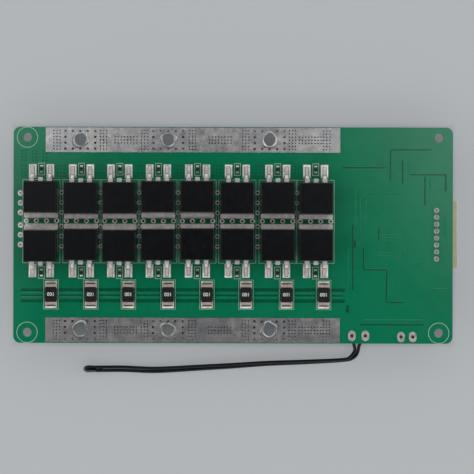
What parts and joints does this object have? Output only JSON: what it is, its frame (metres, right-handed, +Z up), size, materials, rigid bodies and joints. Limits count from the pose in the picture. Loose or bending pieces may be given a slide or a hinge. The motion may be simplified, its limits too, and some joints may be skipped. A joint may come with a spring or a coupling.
{
  "type": "battery management board",
  "caption": "Battery management circuit board with rows of power transistors, current shunts, tinned bus strips for bolted terminals, a balance socket and a wired temperature sensor.",
  "frame": {"origin": "on the surface the board lies on, under the middle of the board and its socket together", "axes": "+X along the board's length towards the balance socket, +Y across it towards the upper bus strip, +Z up out of the switching side"},
  "size_m": [0.1284, 0.0717, 0.0115],
  "materials": {
    "solder_mask": "green solder mask, satin",
    "tinned_copper": "hot-air levelled tin, mottled",
    "mould_compound": "black moulding compound",
    "tinned_leads": "dull tin plate",
    "resistor_glaze": "black glaze",
    "solder": "reflowed solder",
    "nylon": "natural cream nylon",
    "wire_insulation": "black PVC",
    "sensor_epoxy": "glossy black epoxy",
    "capacitor_can": "plain drawn aluminium"
  },
  "bodies": {
    "root": {"circuit_board": "solder_mask", "upper_bus_strip": "tinned_copper", "lower_bus_strip": "tinned_copper", "drain_lands": "tinned_copper", "component_lands": "tinned_copper", "via_rings": "tinned_copper", "wire_lands": "tinned_copper", "mosfet_body_1": "mould_compound", "mosfet_body_2": "mould_compound", "mosfet_body_3": "mould_compound", "mosfet_body_4": "mould_compound", "mosfet_body_5": "mould_compound", "mosfet_body_6": "mould_compound", "mosfet_body_7": "mould_compound", "mosfet_body_8": "mould_compound", "mosfet_body_9": "mould_compound", "mosfet_body_10": "mould_compound", "mosfet_body_11": "mould_compound", "mosfet_body_12": "mould_compound", "mosfet_body_13": "mould_compound", "mosfet_body_14": "mould_compound", "mosfet_body_15": "mould_compound", "mosfet_body_16": "mould_compound", "mosfet_frame_1": "tinned_leads", "mosfet_frame_2": "tinned_leads", "mosfet_frame_3": "tinned_leads", "mosfet_frame_4": "tinned_leads", "mosfet_frame_5": "tinned_leads", "mosfet_frame_6": "tinned_leads", "mosfet_frame_7": "tinned_leads", "mosfet_frame_8": "tinned_leads", "mosfet_frame_9": "tinned_leads", "mosfet_frame_10": "tinned_leads", "mosfet_frame_11": "tinned_leads", "mosfet_frame_12": "tinned_leads", "mosfet_frame_13": "tinned_leads", "mosfet_frame_14": "tinned_leads", "mosfet_frame_15": "tinned_leads", "mosfet_frame_16": "tinned_leads", "shunt_resistors": "resistor_glaze", "gate_resistors": "resistor_glaze", "cell_resistors": "resistor_glaze", "filter_resistors": "resistor_glaze", "shunt_ends": "solder", "gate_resistor_ends": "solder", "cell_resistor_ends": "solder", "filter_resistor_ends": "solder", "balance_joints": "solder", "wire_joints": "solder", "balance_socket": "nylon", "balance_pins": "tinned_leads", "monitor_chip_leads": "tinned_leads", "cell_transistor_leads": "tinned_leads", "sensor_wire_a": "wire_insulation", "sensor_wire_b": "wire_insulation", "sensor_bead": "sensor_epoxy", "monitor_chip": "mould_compound", "cell_transistors": "mould_compound", "capacitor_bases": "mould_compound", "storage_capacitors": "capacitor_can"}
  },
  "joints": []
}
